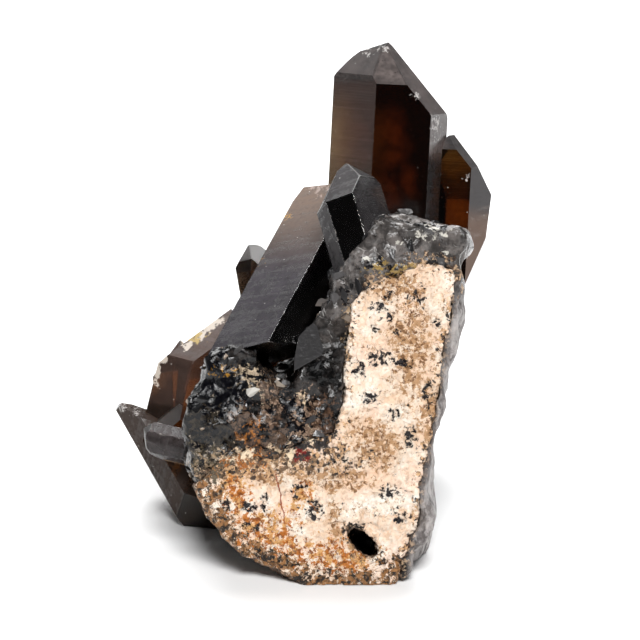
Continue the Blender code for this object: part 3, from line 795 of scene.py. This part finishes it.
# %% Quartz's look
def quartz_look():
    material, shader, place = begin_look("grey_quartz")
    warped = warp(place, 2.5, 2.2)
    ragged = ragged_place(place)
    rim = place.part(2).rise(38.0, 50.0)
    colour = glassy_depths(place, warped, rim)
    grain = ragged.cells(0.6, output="Color")
    seam = seam_grains(place, ragged)
    colour = seam.blend(colour, grain_mixture(grain.part(2), ragged, 0.8).blend(SEAM_BROWN, SEAM_CREAM))
    for tint, size, threshold, spots in QUARTZ_STAINS_AND_HIGHLIGHTS:
        colour = stain(place, ragged, colour, tint, spots, size, threshold)
    shade = ragged.noise(0.7, 5.0, 0.75).rise(0.36, 0.62)
    colour = (0.30 + 0.70 * shade.at_least(0.75 * rim)).blend((0.0, 0.0, 0.0), colour)
    side = flat_side(place)
    streaks = warped.scaled((1.0, 1.0, 0.28)).noise(1.3, 5.0, 0.7).rise(0.36, 0.64)
    colour = (side * 0.95).blend(colour, streaks.blend(SIDE_DARK, SIDE_PALE))
    plug(colour, shader.inputs["Base Color"])
    earthy = seam.at_least(side * 0.7)
    plug(0.06 + 0.45 * earthy + 0.2 * place.noise(2.0).rise(0.50, 0.65), shader.inputs["Roughness"])
    shader.inputs["IOR"].default_value = QUARTZ_IOR
    shader.inputs["Specular IOR Level"].default_value = 0.28
    height = 0.7 * warped.noise(1.2, 4.0, 0.6) + 0.3 * ragged.noise(0.4, 3.0, 0.65)
    height = height + 0.8 * earthy * ragged.noise(0.8, 5.0, 0.7)
    facets = facet_normal(warp(place, 2.0, 1.2), 3.4, 0.7)
    plug(bump(place, height, 0.18, facet_normal(warped, 1.5, 0.22, facets)), shader.inputs["Normal"])
    return material


base.data.materials.append(quartz_look())
print("quartz base:", len(base.data.materials[0].node_tree.nodes), "nodes in its look")

# %% [markdown]
# A quartz crystal is a six-sided prism with a six-sided point. Its look has to know each face: which way
# the crystal grew, whether the face is a side or an end face, and how much dull film is on it. The faces
# could be painted by hand, but the angles that the crystals were built with tell them apart by themselves.

# %% Crystal habits
# For each crystal: lean to the right, lean back and turn about its own axis, in degrees. Then how much
# dull film covers its six sides and its six end faces, from the one in front round to the right.
HABITS = {
    "main_crystals": [((3, -6, 11), (0.0, 0.70, 0.2, 0.2, 0.2, 0.42), (0.65, 0.65, 0.5, 0.5, 0.5, 0.55))],
    "front_crystal": [((-16.5, 20, -10), (0.03, 0.55, 0.1, 0.1, 0.1, 0.95),
                       (0.95, 0.70, 0.2, 0.2, 0.2, 0.6))],
    "diagonal_crystal": [((28, 36.5, 10), (0.0, 0.1, 0.1, 0.1, 0.3, 0.85), (0.6, 0.6, 0.6, 0.6, 0.6, 0.6))],
    "narrow_crystal": [((-10, 4, 30), (0.02, 0.05, 0.1, 0.1, 0.1, 0.05), (0.03, 0.1, 0.3, 0.3, 0.3, 0.55))],
    "left_crystals": [((-71, 0, 20), (0.90, 0.8, 0.1, 0.1, 0.3, 0.4), (0.4, 0.1, 0.1, 0.1, 0.7, 0.92)),
                      ((-4, 0, 22), (0.50, 0.30, 0.1, 0.1, 0.1, 0.90), (0.30, 0.1, 0.1, 0.1, 0.1, 0.70)),
                      ((14, 0, 25), (0.40, 0.1, 0.1, 0.1, 0.1, 0.50), (0.1, 0.1, 0.1, 0.1, 0.3, 0.65)),
                      ((14, -4, 35), (0.1, 0.1, 0.1, 0.1, 0.1, 0.1), (0.1, 0.1, 0.1, 0.1, 0.1, 0.1))],
    "stub_crystal": [((-77, 4, -12), (0.65, 0.90, 0.2, 0.2, 0.2, 0.4), (0.2, 0.2, 0.2, 0.2, 0.2, 0.2))],
    "back_high_crystal": [((-18, 46, 5), (0.15,) * 6, (0.6,) * 6)],
    "back_right_crystal": [((20, 60, 25), (0.15,) * 6, (0.6,) * 6)],
    "back_small_crystal": [((-52, 36, 15), (0.15,) * 6, (0.6,) * 6)],
}


def growth_faces(lean, back, roll):
    """The growth axis of a crystal and the outward normals of its six sides and six end faces."""
    lean, back, roll = math.radians(lean), math.radians(back), math.radians(roll)
    axis = Vector((math.sin(lean) * math.cos(back), math.sin(back), math.cos(lean) * math.cos(back)))
    across = Vector((math.cos(lean), 0, -math.sin(lean)))
    outward = across.cross(axis)
    sides = []
    caps = []
    for step in range(6):
        angle = roll + math.radians(60 * step)
        side = math.cos(angle) * outward + math.sin(angle) * across
        sides.append(PLATE_TURN @ side)
        caps.append(PLATE_TURN @ (math.cos(CAP_SLOPE) * side + math.sin(CAP_SLOPE) * axis))
    return PLATE_TURN @ axis, sides, caps


for node, habits in HABITS.items():
    axis = growth_faces(*habits[0][0])[0]
    print(node, "grows along", [round(value, 2) for value in axis])

# %% [markdown]
# The edges of a real crystal are never quite sharp. A two-step bevel a seventh of a millimetre wide
# catches the light as the worn edge does. The loose triangles are joined into whole faces first, because
# a bevel needs them. Then each face is matched with the growth face that it is most like.

# %% Dressing a crystal
EDGE_WIDTH = 0.14
BROKEN_FILM = 0.08
SHOULDER_FROM = 22.0    # the lower of the main crystals starts this far to the right
SHOULDER_FILM = 1.6
GROWN_MATCH = 0.9995    # a face is a growth face if its normal is this close to one
WORN_AREA = 1.2e-6      # a face between growth faces is a worn edge below this area for each corner


def wear_edges(piece):
    """Joins the flat triangles into whole faces, then bevels the edges between them."""
    pick(piece)
    bpy.ops.object.mode_set(mode="EDIT")
    bpy.ops.mesh.select_all(action="SELECT")
    bpy.ops.mesh.dissolve_limited(angle_limit=math.radians(0.4))
    bpy.ops.object.mode_set(mode="OBJECT")
    modifier = piece.modifiers.new("worn_edges", "BEVEL")
    modifier.width = EDGE_WIDTH * MM
    modifier.segments = 2
    modifier.limit_method = "ANGLE"
    modifier.angle_limit = math.radians(8)
    modifier.use_clamp_overlap = True
    apply_all(piece)


def dress_crystal(node):
    """A copy of a crystal with worn edges, whose faces know what they are."""
    piece = cad_copy(node, node + "_dressed")
    wear_edges(piece)
    choices = []
    for angles, side_films, cap_films in HABITS[node]:
        axis, sides, caps = growth_faces(*angles)
        choices += [(normal, axis, 0.0, film) for normal, film in zip(sides, side_films)]
        choices += [(normal, axis, 1.0, film) for normal, film in zip(caps, cap_films)]
    axes, caps, films, worn = [], [], [], []
    for face in piece.data.polygons:
        normal, axis, cap, film = max(choices, key=lambda choice: choice[0].dot(face.normal))
        match = normal.dot(face.normal)
        if node == "main_crystals" and cap == 0.0 and (PLATE_BACK @ face.center).x > SHOULDER_FROM * MM:
            film *= SHOULDER_FILM
        axes.append(axis)
        caps.append(cap)
        films.append(film if match > GROWN_MATCH or node == "stub_crystal" else BROKEN_FILM)
        worn.append(1.0 if match < GROWN_MATCH and face.area < WORN_AREA * len(face.vertices) else 0.0)
    store(piece, "growth", axes, "FACE", "FLOAT_VECTOR")
    store(piece, "cap", caps, "FACE")
    store(piece, "film", films, "FACE")
    store(piece, "worn", worn, "FACE")
    keep_in_box(piece, 0.0)
    print(node, len(piece.data.polygons), "faces,", int(sum(worn)), "worn")
    return piece


# %% [markdown]
# Morion is quartz turned brown to black all through, so light that crosses more of it comes out darker.
# The crystal is therefore clear glass with absorption inside it, and not a dark paint. Many of its faces
# are dull all the same, from a thin film, fine growth lines across the sides and pits on the end faces.
# That film is a second, dull shader laid over the glass by a mask.

# %% Parts of the smoky look
DULL_ROUGHNESS = 0.60
DULL_SPECULAR = 0.14
MARK_COVER = 0.85    # how much a ragged mark hides of the glass under it
CAP_ROUGHNESS = 0.35
PIT_SHADE_BLACK = (0.015, 0.012, 0.010)
SPECK_BLACK = (0.030, 0.022, 0.020)
CHIP_WHITE = (0.38, 0.35, 0.33)
DUST_WHITE = (0.70, 0.68, 0.65)


def growth_relief(place, cap, wavy, pits):
    """Fine lines across the sides, and a lightly pitted surface on the end faces."""
    lines = place.node("ShaderNodeTexNoise", {"noise_dimensions": "1D"}, 0, W=wavy, Scale=1.3, Detail=5.0,
                       Roughness=0.8)
    pitted = cap * (0.5 * place.noise(0.8, 4.0, 0.7) - 1.2 * pits)
    return (1.0 - cap) * lines + pitted


def film_colour(place, tint, film_tone, dirt, cap, pits):
    """The film's tint, mottled, changed along the crystal, and with painted shade in the pits of the end
    faces.
    """
    darker, lighter = [tuple(share * value for value in tint) for share in (0.55, 1.15)]
    colour = (0.5 * dirt + 0.5 * place.noise(5.0, 4.0)).rise(0.38, 0.62).blend(darker, lighter)
    if film_tone is not None:
        colour = film_tone(place, colour)
    # Painted shade: the pits that the relief sinks into the end faces are painted near-black.
    colour = (cap * pits).blend(colour, PIT_SHADE_BLACK)
    speck = cap * place.noise(0.7, 5.0, 0.72)
    return speck.rise(0.60, 0.64).blend(colour, SPECK_BLACK)


def lay_over(tree, glass, crust, cover):
    """Shows the dull film over the glass where cover is 1."""
    mix = tree.nodes.new("ShaderNodeMixShader")
    tree.links.new(cover.socket, mix.inputs[0])
    tree.links.new(glass.outputs["BSDF"], mix.inputs[1])
    tree.links.new(crust.outputs["BSDF"], mix.inputs[2])
    tree.links.new(mix.outputs["Shader"], tree.nodes["Material Output"].inputs["Surface"])


def add_smoke(tree, absorb):
    """Lets the inside of the crystal take this share of red, green and blue light in each millimetre."""
    volume = tree.nodes.new("ShaderNodeVolumeAbsorption")
    strongest = max(absorb)
    volume.inputs["Density"].default_value = strongest / MM
    volume.inputs["Color"].default_value = (*[1 - value / strongest for value in absorb], 1)
    tree.links.new(volume.outputs["Volume"], tree.nodes["Material Output"].inputs["Volume"])


# %% Smoky crystal look
def crystal_look(name, absorb, tint, side_rough=0.04, striae=0.015, film_tone=None, glass_tone=None,
                 marks=(), depth=25.0):
    material, shader, place = begin_look(name)
    cap, film, worn = [attribute(place, kept) for kept in ("cap", "film", "worn")]
    in_metres = Wire(place.socket.node.inputs["Vector"].links[0].from_socket)
    growth = attribute(place, "growth", "Vector")
    along = in_metres.vector("DOT_PRODUCT", in_metres, growth, output=1) * (1 / MM)
    wavy = along + 0.30 * place.noise(4.0, 2.0)
    pits = place.cells(0.9).fall(0.10, 0.22) * place.noise(2.5).rise(0.45, 0.6)
    normal = bump(place, growth_relief(place, cap, wavy, pits), striae)
    plug((1.0, 1.0, 1.0) if glass_tone is None else glass_tone(place), shader.inputs["Base Color"])
    shader.inputs["Transmission Weight"].default_value = 1.0
    shader.inputs["IOR"].default_value = QUARTZ_IOR
    smear = place.noise(5.0, 3.0).rise(0.4, 0.7)
    plug(side_rough + 0.06 * smear + cap * (CAP_ROUGHNESS - side_rough), shader.inputs["Roughness"])
    plug(normal, shader.inputs["Normal"])
    dirt = place.noise(1.0, 4.0, 0.65)
    colour = film_colour(place, tint, film_tone, dirt, cap, pits)
    chipped = worn * place.noise(1.2, 3.0, 0.6).rise(0.57, 0.64)
    colour = chipped.blend(colour, CHIP_WHITE)
    dust = place.cells(1.8).fall(0.04, 0.065) * (place.cells(1.8, output="Color").part(0) > 0.45)
    colour = dust.blend(colour, DUST_WHITE)
    combed = place.node("ShaderNodeTexNoise", {"noise_dimensions": "1D"}, 0, W=wavy, Scale=0.7, Detail=5.0)
    mottled = 0.35 * dirt + 0.35 * combed + 0.3 * place.noise(4.0, 3.0)
    cover = film * (0.78 + 0.42 * mottled.rise(0.38, 0.62))
    ragged = ragged_place(place)
    for mark_tint, size, threshold, spots in marks:
        mark = ragged_cover(place, ragged, spots, size, threshold, depth)
        colour = mark.blend(colour, mark_tint)
        cover = cover.at_least(mark * MARK_COVER)
    crust = place.tree.nodes.new("ShaderNodeBsdfPrincipled")
    plug(colour, crust.inputs["Base Color"])
    plug(normal, crust.inputs["Normal"])
    crust.inputs["Roughness"].default_value = DULL_ROUGHNESS
    crust.inputs["Specular IOR Level"].default_value = DULL_SPECULAR
    lay_over(place.tree, shader, crust, cover.at_least(chipped * 0.55).at_least(dust * 0.8).clamp())
    add_smoke(place.tree, absorb)
    return material


# %% [markdown]
# No crystal is one even colour. The film on the long one is violet-grey low down and brown at the point,
# and the tall one is pinkish brown on its left face, partly painted reflection and light through the
# crystal, and has painted shade under its shoulder. Each of these functions changes the colour by height and
# side, in millimetres on the plate, so the borders follow the faces.

# %% Films that change along a crystal
VIOLET_BLACK, WARM_BROWN = (0.012, 0.010, 0.014), (0.19, 0.135, 0.105)
PINK_BROWN, OLIVE_BROWN = (0.078, 0.048, 0.040), (0.050, 0.034, 0.014)
END_GREY, SHOULDER_SHADE_BLACK = (0.02, 0.018, 0.02), (0.006, 0.005, 0.005)
SHOULDER_GREY, SHOULDER_PINK = (0.036, 0.031, 0.032), (0.115, 0.066, 0.044)
BROAD_PINK, LOW_BROWN = (0.090, 0.056, 0.045), (0.038, 0.024, 0.018)


def diagonal_film(place, colour):
    """Grey-violet low down, warm brown towards the point."""
    up = place.part(2)
    colour = (0.45 * up.fall(36.0, 50.0)).blend(colour, VIOLET_BLACK)
    return up.rise(52.0, 68.0).blend(colour, WARM_BROWN)


def main_film(place, colour):
    """Grey end faces, a pinkish brown left face, partly its film and partly painted reflection and light
    through the crystal, painted shade under the shoulder, and a shoulder that is dark above and pinkish
    below.
    """
    across, up = place.part(0), place.part(2)
    # The left face's pinkish brown is partly its film and partly painted reflection and light through the
    # crystal.
    left_face = across.fall(9.6, 10.4) * up.fall(86.5, 87.5)
    colour = left_face.blend(colour, up.fall(66.0, 76.0).blend(PINK_BROWN, OLIVE_BROWN))
    end_left = (across - 0.324 * up + 18.9).fall(-0.1, 0.1) * (1.0 - left_face)
    end_right = (across + 0.473 * up - 55.9).rise(-0.1, 0.1)
    colour = (0.35 * end_left.at_least(end_right)).blend(colour, END_GREY)
    # Painted shade: the face under the shoulder is painted black.
    under = across.rise(17.0, 18.0) * up.fall(72.5, 75.0)
    colour = under.blend(colour, SHOULDER_SHADE_BLACK)
    right = across.rise(SHOULDER_FROM, SHOULDER_FROM + 1.5)
    return right.blend(colour, up.fall(62.0, 66.0).blend(SHOULDER_GREY, SHOULDER_PINK))


def left_film(place, colour):
    """Pinkish brown on the broad crystal, dark brown on the flat one below it."""
    return place.part(2).fall(29.4, 30.6).blend(BROAD_PINK, LOW_BROWN)


# %% [markdown]
# Inside, the smoke isn't even either: the tall crystal glows rusty in its middle, the lower one amber, and
# the broad left one is clearest in its middle. The volume is even, so the glass gets the tint instead.

# %% Glass that changes inside a crystal
DARK_GLASS, RUSTY_GLASS = (0.03, 0.02, 0.02), (0.34, 0.19, 0.13)
AMBER_GLASS = (1.0, 0.93, 0.80)
LEFT_DARK, LEFT_CLEAR = (0.22, 0.19, 0.18), (1.0, 0.92, 0.82)


def main_glass(place):
    """Rusty patches in the tall crystal, and amber ones in the lower one at its right."""
    broken = warp(place, 4.0, 4.0)
    rusty = zone_of(broken, [(392, 140, 3.0, (0.8, 1.7)), (386, 190, 2.6, (0.9, 1.3)),
                             (408, 180, 1.6, (0.8, 1.6))], 28.0)
    amber = zone_of(place, [(454, 208, 4.2, (0.7, 1.6)), (455, 163, 3.2, (1.0, 0.9)),
                            (480, 215, 3.0, (1.0, 1.3))], 38.0)
    olive = zone_of(place, [(350, 140, 4.6, (1.1, 1.4)), (352, 190, 4.0, (1.0, 1.2))], 30.0) * 0.3
    uneven = (amber.at_least(olive) * (0.4 + 1.2 * place.noise(4.0, 3.0))).clamp()
    tone = (rusty * place.noise(3.0, 3.0).rise(0.30, 0.60)).blend(DARK_GLASS, RUSTY_GLASS)
    return uneven.blend(tone, AMBER_GLASS)


def left_glass(place):
    """The left crystals are clearest in the middle of the broad one and beside the base."""
    glow = place.spot(170, 392, 3.0, 0.8, (0.9, 1.3), 30.0) * 0.5
    glow = glow.at_least(place.spot(188, 391, 2.4, 0.7, (0.7, 1.3), 30.0))
    glow = glow.at_least(place.spot(164, 477, 2.6, 0.8, (1.2, 0.9), 28.0))
    return (glow * (0.6 + 0.8 * place.noise(4.0, 3.0))).clamp().blend(LEFT_DARK, LEFT_CLEAR)


# %% [markdown]
# With the parts ready, each crystal is one line: how smoky it is inside, the tint of its film, and marks.
# Smoke is the share of red, green and blue light lost in each millimetre. The front, diagonal, narrow
# and stub crystals are almost opaque, as morion is, and those at the left are the thinnest brown.

# %% Dressed crystals
SMOKE = (0.20, 0.31, 0.52)
THIN_SMOKE = (0.15, 0.24, 0.40)
DEEP_SMOKE = (0.45, 0.58, 0.75)
PALE = (0.55, 0.52, 0.50)
BACK_TINT = (0.13, 0.115, 0.11)
MAIN_MARKS = [(PALE, 0.8, 0.80, [(383, 50, 1.6, (1.2, 0.8)), (415, 98, 1.2, (1, 1)),
                                 (436, 128, 2.4, (0.6, 1.4)), (487, 198, 2.4, (0.5, 1.5)),
                                 (467, 176, 1.0, (1, 1)), (368, 53, 1.4, (1, 1))])]
DIAGONAL_MARKS = [((0.45, 0.25, 0.07), 0.9, 0.80, [(260, 250, 2.6, (0.5, 1.6)), (285, 215, 2.0, (1, 1))]),
                  ((0.42, 0.33, 0.29), 1.2, 0.78, [(322, 188, 3.2, (1.0, 0.6))])]
LEFT_MARKS = [((0.66, 0.58, 0.50), 1.4, 0.69, [(186, 342, 1.5, (1, 1)), (197, 334, 1.5, (1, 1)),
                                               (208, 326, 1.5, (1, 1)), (219, 319, 1.5, (1, 1)),
                                               (156, 372, 1.4, (0.5, 2.6)), (163, 358, 1.2, (1, 1))]),
              ((0.50, 0.36, 0.14), 1.0, 0.77, [(192, 336, 2.4, (1.5, 0.8))]),
              (PALE, 0.8, 0.80, [(120, 407, 1.6, (1.2, 0.8)), (136, 412, 1.0, (1, 1))])]
DRESSING = {
    "main_crystals": dict(absorb=SMOKE, tint=(0.150, 0.120, 0.112), film_tone=main_film,
                          glass_tone=main_glass, marks=MAIN_MARKS, depth=34.0),
    "front_crystal": dict(absorb=DEEP_SMOKE, tint=(0.036, 0.032, 0.034), striae=0.04),
    "diagonal_crystal": dict(absorb=DEEP_SMOKE, tint=(0.035, 0.030, 0.037), side_rough=0.12, striae=0.03,
                             film_tone=diagonal_film, marks=DIAGONAL_MARKS, depth=30.0),
    "narrow_crystal": dict(absorb=DEEP_SMOKE, tint=(0.16, 0.15, 0.15)),
    "left_crystals": dict(absorb=THIN_SMOKE, tint=(0.050, 0.034, 0.028), film_tone=left_film,
                          glass_tone=left_glass, marks=LEFT_MARKS, depth=28.0),
    "stub_crystal": dict(absorb=DEEP_SMOKE, tint=(0.070, 0.058, 0.058)),
    "back_high_crystal": dict(absorb=SMOKE, tint=BACK_TINT),
    "back_right_crystal": dict(absorb=SMOKE, tint=BACK_TINT),
    "back_small_crystal": dict(absorb=SMOKE, tint=BACK_TINT),
}
for node, look in DRESSING.items():
    dress_crystal(node).data.materials.append(crystal_look(node + "_look", **look))

# %% [markdown]
# Where the quartz lump broke, small sharp splinters still cling to it. Modelled by hand they would all
# be alike. Each is the tight skin round a few random points of a flattened ball, set into the surface and
# turned a little off it, and all of them are written into one mesh, which is quick.

# %% Splinters of quartz
SPLINTER_POINTS = 8
SPLINTER_SHAPE = (0.7, 0.45, 0.28)
SPLINTER_TILT = 0.5


def add_splinters(name, host, count, smallest, largest, chance, seed):
    """Puts splinters of some size range, in millimetres, where chance(spot, facing) allows them."""
    random.seed(seed)
    faces = host.data.polygons
    solid = bmesh.new()
    tones = []
    placed = 0
    while placed < count:
        face = faces[random.randrange(len(faces))]
        spot = PLATE_BACK @ face.center / MM
        facing = (PLATE_BACK.to_3x3() @ face.normal).normalized()
        if random.random() > chance(spot, facing):
            continue
        placed += 1
        size = random.uniform(smallest, largest) * MM
        normal = face.normal
        side = normal.orthogonal().normalized()
        turn = Matrix((side, normal.cross(side), normal)).transposed()
        turn = turn @ Matrix.Rotation(random.uniform(0, math.tau), 3, "Z")
        turn = turn @ Matrix.Rotation(random.gauss(0, SPLINTER_TILT), 3, "X")
        points = []
        for number in range(SPLINTER_POINTS):
            direction = Vector((random.gauss(0, 1), random.gauss(0, 1), random.gauss(0, 1))).normalized()
            local = direction * Vector(SPLINTER_SHAPE) * size
            points.append(solid.verts.new(face.center + turn @ local))
        hull = bmesh.ops.convex_hull(solid, input=points)
        inside = list({part for part in hull["geom_interior"] if isinstance(part, bmesh.types.BMVert)})
        bmesh.ops.delete(solid, geom=inside, context="VERTS")
        solid.faces.ensure_lookup_table()
        tones += [random.random()] * (len(solid.faces) - len(tones))
    bmesh.ops.recalc_face_normals(solid, faces=solid.faces)
    mesh = bpy.data.meshes.new(name)
    solid.to_mesh(mesh)
    solid.free()
    piece = bpy.data.objects.new(name, mesh)
    bpy.context.scene.collection.objects.link(piece)
    store(piece, "tone", tones, "FACE")
    keep_in_box(piece)
    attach(piece, "root")
    print(name, placed, "splinters,", len(mesh.polygons), "faces")
    return piece


# %% [markdown]
# Splinters are bits of the same quartz, so they share one look, but no two are the same grey, and some
# lower down still carry feldspar. A tone for each turns most dark grey, a few white and some cream.

# %% Splinter look
SPLINTER_DARK, SPLINTER_GREY = (0.010, 0.010, 0.011), (0.10, 0.095, 0.095)
SPLINTER_WHITE = (0.60, 0.57, 0.52)
SPLINTER_CREAM = (0.34, 0.26, 0.19)


def splinter_look():
    material, shader, place = begin_look("splinter_quartz")
    tone = attribute(place, "tone")
    grey = tone.rise(0.3, 0.95).blend(SPLINTER_DARK, SPLINTER_GREY)
    colour = tone.rise(0.90, 0.97).blend(grey, SPLINTER_WHITE)
    cream = (tone * 7.0).math("FRACT", tone * 7.0).rise(0.75, 0.8) * place.part(2).fall(42.0, 50.0)
    colour = (cream * 0.7).blend(colour, SPLINTER_CREAM)
    plug(colour, shader.inputs["Base Color"])
    shader.inputs["Roughness"].default_value = 0.18
    shader.inputs["IOR"].default_value = QUARTZ_IOR
    shader.inputs["Specular IOR Level"].default_value = 0.35
    plug(bump(place, place.noise(0.9, 4.0), 0.12), shader.inputs["Normal"])
    return material


def on_broken_quartz(spot, facing):
    """Many splinters on top of the rim, fewer on the lower left, none on the right side or behind."""
    if spot.y > 16 or facing.y > 0.3 or spot.z < 16 or spot.x > 13 + RIGHT_SIDE_SLOPE * spot.z:
        return 0.0
    if spot.z > 46:
        return 1.0 if facing.z > 0.2 else 0.35
    return 0.3


splinters = add_splinters("quartz_splinters", base, 210, 0.7, 2.6, on_broken_quartz, 11)
splinters.data.materials.append(splinter_look())

# %% [markdown]
# One larger flake of dark glass stands up between the long crystal and the feldspar. It is modelled as
# by hand: a ten-sided disc, each corner pulled onto the outline in the photo, extruded, and its back
# pushed away more at the foot than at the top, which makes a wedge. Rays from the camera find how deep
# the broken quartz lies there, so its foot is buried and its face shows.

# %% Standing flake
FLAKE_OUTLINE = ((299, 336), (307, 328), (313, 323), (317, 326), (319, 334), (324, 350), (322, 355),
                 (294, 371), (294, 361), (296, 350))
FLAKE_LEAN = 0.05
FLAKE_PROUD = 0.8
FLAKE_THICKNESS = 1.8
FLAKE_FOOT_ROW = 371
FLAKE_TOP_ROW = 323
PIXEL_SIZE = 0.166
quartz_tree = search_tree(base.data)
eye = camera.matrix_world.translation


def depth_behind(column, row):
    """How far behind the plate's face the broken quartz lies at a point of the photo."""
    target = seen_at(column, row, 0.0)
    hit = quartz_tree.ray_cast(eye, (on_plate(*target) - eye).normalized())[0]
    return (PLATE_BACK @ hit).y / MM


def flake_corner(column, row, thickness):
    """A corner of the flake's front, or of its back, which is thinner towards the top."""
    spot = seen_at(column, row, flake_foot + (FLAKE_FOOT_ROW - row) * PIXEL_SIZE * FLAKE_LEAN)
    share = min(1.0, max(0.1, (row - FLAKE_TOP_ROW) / 30))
    return on_plate(spot.x, spot.y + thickness * share, spot.z)


flake_foot = min(depth_behind(296, 366), depth_behind(308, 362), depth_behind(318, 355)) - FLAKE_PROUD
print("flake foot at depth", round(flake_foot, 2), "mm")
deselect()
bpy.ops.mesh.primitive_circle_add(vertices=len(FLAKE_OUTLINE), radius=MM, fill_type="NGON", calc_uvs=False)
flake = bpy.context.object
flake.name = flake.data.name = "standing_flake"
for vertex, (column, row) in zip(flake.data.vertices, reversed(FLAKE_OUTLINE)):
    vertex.co = flake_corner(column, row, 0.0)
bpy.ops.object.mode_set(mode="EDIT")
bpy.ops.mesh.select_all(action="SELECT")
bpy.ops.mesh.extrude_region_move()
bpy.ops.object.mode_set(mode="OBJECT")
for vertex in [vertex for vertex in flake.data.vertices if vertex.select]:
    corner = min(FLAKE_OUTLINE, key=lambda corner: (flake_corner(*corner, 0.0) - vertex.co).length)
    vertex.co = flake_corner(*corner, FLAKE_THICKNESS)
bpy.ops.object.mode_set(mode="EDIT")
bpy.ops.mesh.select_all(action="SELECT")
bpy.ops.mesh.normals_make_consistent(inside=False)
bpy.ops.object.mode_set(mode="OBJECT")

# %% [markdown]
# A broken edge this thin would look like paper if it were perfectly sharp, so it gets a narrow bevel. The
# finish is that of the splinters, because it is the same glass.

# %% The flake's edges and finish
FLAKE_TONE = 0.52
FLAKE_EDGE = 0.12
store(flake, "tone", [FLAKE_TONE] * len(flake.data.polygons), "FACE")
modifier = flake.modifiers.new("worn_edges", "BEVEL")
modifier.width = FLAKE_EDGE * MM
modifier.segments = 2
apply_all(flake)
keep_in_box(flake)
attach(flake, "root")
flake.data.materials.append(splinters.data.materials[0])
print("standing flake:", len(flake.data.polygons), "faces")
